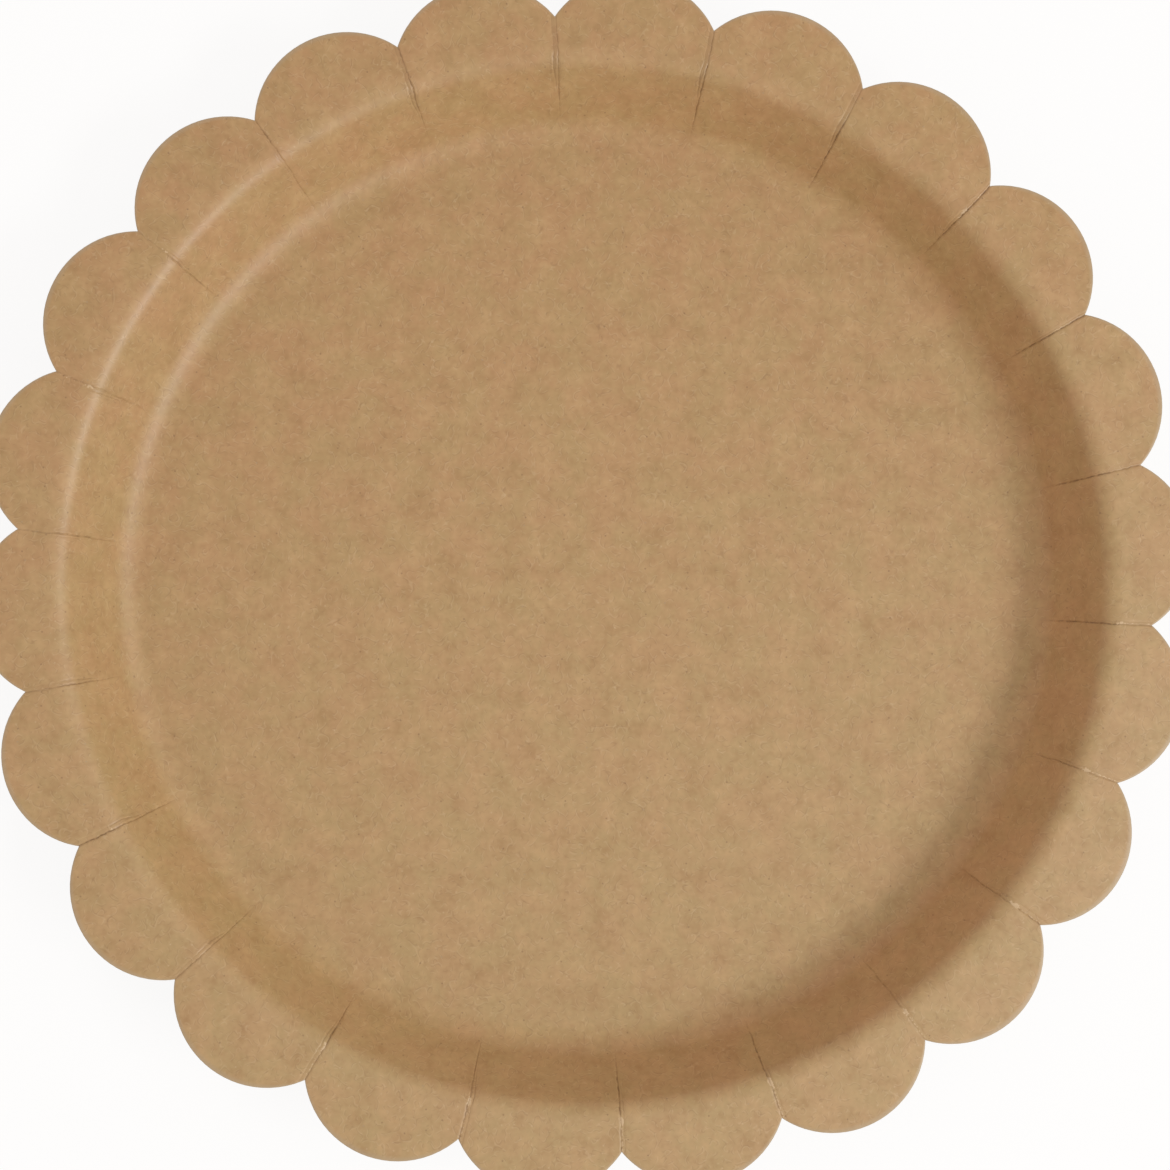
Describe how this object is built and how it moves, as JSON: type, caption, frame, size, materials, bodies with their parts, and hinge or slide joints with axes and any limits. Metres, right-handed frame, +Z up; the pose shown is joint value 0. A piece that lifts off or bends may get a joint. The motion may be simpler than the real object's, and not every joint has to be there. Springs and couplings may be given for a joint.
{
  "type": "paper plate",
  "caption": "Round pressed-board plate with a flat floor, a sloped pleated wall and a petal-shaped rim, for serving food.",
  "frame": {"origin": "on the table, under the middle of the plate's floor", "axes": "+Z up, away from the table"},
  "size_m": [0.2296, 0.2292, 0.015],
  "materials": {
    "board": "pressed unbleached kraft board, matt with a faint sheen"
  },
  "bodies": {
    "root": {"plate": "board"}
  },
  "joints": []
}
